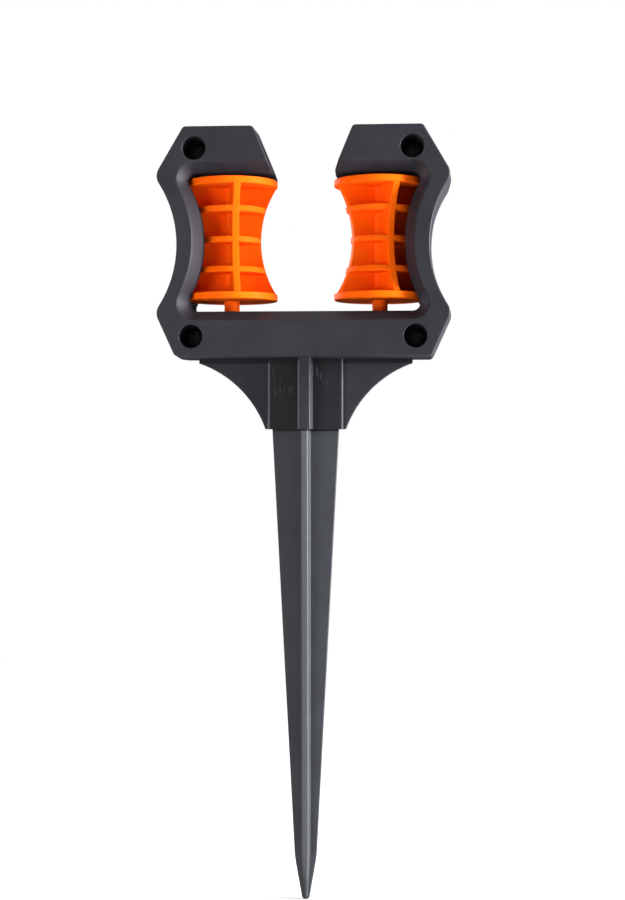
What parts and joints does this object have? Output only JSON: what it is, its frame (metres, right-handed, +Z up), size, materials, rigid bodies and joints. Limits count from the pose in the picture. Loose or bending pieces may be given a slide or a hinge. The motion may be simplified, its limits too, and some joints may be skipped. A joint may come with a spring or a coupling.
{
  "type": "hose guide stake",
  "caption": "Garden stake with an open-topped split head that guides a hose between upright hourglass rollers, on a tapered cruciform ground spike.",
  "frame": {"origin": "on the spike's axis at the ground line, the lower face of the socket", "axes": "+Z up along the spike's axis, +X to the right seen from the front, +Y from the front face to the back face"},
  "size_m": [0.0978, 0.032, 0.2589],
  "materials": {
    "charcoal_plastic": "satin moulded charcoal plastic with soft edges",
    "orange_plastic": "smooth bright orange moulded plastic",
    "spike_plastic": "satin moulded charcoal plastic with faint round ejector marks",
    "screw_steel": "dark zinc-plated steel"
  },
  "bodies": {
    "head": {"front_shell": "charcoal_plastic", "rear_shell": "charcoal_plastic", "spike": "spike_plastic", "upper_left_screw": "screw_steel", "upper_right_screw": "screw_steel", "lower_left_screw": "screw_steel", "lower_right_screw": "screw_steel"},
    "left_roller": {"left_roller": "orange_plastic"},
    "right_roller": {"right_roller": "orange_plastic"}
  },
  "joints": [
    {"name": "left_roller_spin", "type": "hinge", "parent": "head", "child": "left_roller", "pos_m": [-0.025, 0, 0.0628], "axis": [0, 0, 1], "continuous": true},
    {"name": "right_roller_spin", "type": "hinge", "parent": "head", "child": "right_roller", "pos_m": [0.025, 0, 0.0628], "axis": [0, 0, 1], "continuous": true}
  ]
}
